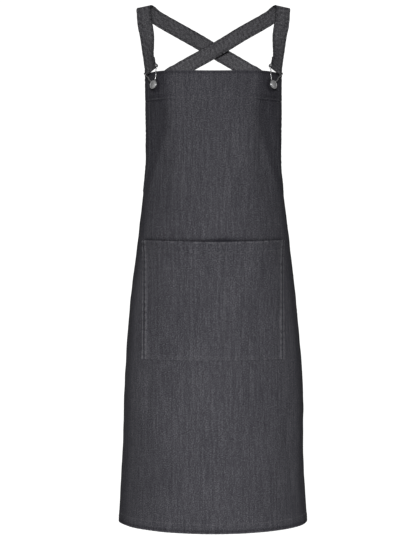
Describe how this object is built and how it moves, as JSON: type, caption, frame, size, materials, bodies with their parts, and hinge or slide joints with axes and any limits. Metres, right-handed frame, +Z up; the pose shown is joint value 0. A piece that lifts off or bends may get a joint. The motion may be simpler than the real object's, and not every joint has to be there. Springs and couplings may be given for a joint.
{
  "type": "cross-back bib apron",
  "caption": "Charcoal denim bib apron as worn, with crossed back straps, wire dungaree clips on tack buttons and a wide divided front pocket.",
  "frame": {"origin": "midway between the two shoulder rests, on the line that joins the undersides of the straps", "axes": "+Z up, +X to the wearer's left, -Y out of the front of the bib"},
  "size_m": [0.3664, 0.2534, 0.9993],
  "materials": {
    "denim": "matte",
    "denim_inside": "matte",
    "strap_denim": "matte",
    "dark_wire": "satin",
    "button_metal": "satin"
  },
  "bodies": {
    "apron": {"body_panel": "denim", "bib_facing": "denim_inside", "side_hem_left": "denim_inside", "side_hem_right": "denim_inside", "bottom_hem": "denim_inside", "pocket_panel": "denim", "pocket_mouth_hem": "denim_inside", "button_patch_left": "denim_inside", "button_patch_right": "denim_inside", "strap_left": "strap_denim", "strap_right": "strap_denim", "tack_nail_left": "button_metal", "tack_nail_right": "button_metal"},
    "button_left": {"button_cap_left": "button_metal", "button_shank_left": "button_metal"},
    "clip_left": {"buckle_wire_left": "dark_wire"},
    "strap_fold_left": {"crossbar_left": "dark_wire", "strap_end_left": "strap_denim"},
    "button_right": {"button_cap_right": "button_metal", "button_shank_right": "button_metal"},
    "clip_right": {"buckle_wire_right": "dark_wire"},
    "strap_fold_right": {"crossbar_right": "dark_wire", "strap_end_right": "strap_denim"}
  },
  "joints": [
    {"name": "button_swivel_left", "type": "hinge", "parent": "apron", "child": "button_left", "pos_m": [-0.10954, -0.06361, -0.15799], "axis": [-0.7425, -0.6479, 0.1699], "range_deg": [-15, 15]},
    {"name": "clip_unhook_left", "type": "slide", "parent": "button_left", "child": "clip_left", "axis": [0.1732, -0.4307, -0.8857], "range_m": [0, 0.02]},
    {"name": "strap_tilt_left", "type": "hinge", "parent": "clip_left", "child": "strap_fold_left", "pos_m": [-0.11869, -0.05182, -0.12713], "axis": [0.6471, -0.6282, 0.432], "range_deg": [-8, 40]},
    {"name": "button_swivel_right", "type": "hinge", "parent": "apron", "child": "button_right", "pos_m": [0.10954, -0.06361, -0.15799], "axis": [-0.7425, 0.6479, -0.1699], "range_deg": [-15, 15]},
    {"name": "clip_unhook_right", "type": "slide", "parent": "button_right", "child": "clip_right", "axis": [-0.1732, -0.4307, -0.8857], "range_m": [0, 0.02]},
    {"name": "strap_tilt_right", "type": "hinge", "parent": "clip_right", "child": "strap_fold_right", "pos_m": [0.11869, -0.05182, -0.12713], "axis": [0.6471, 0.6282, -0.432], "range_deg": [-8, 40]}
  ]
}
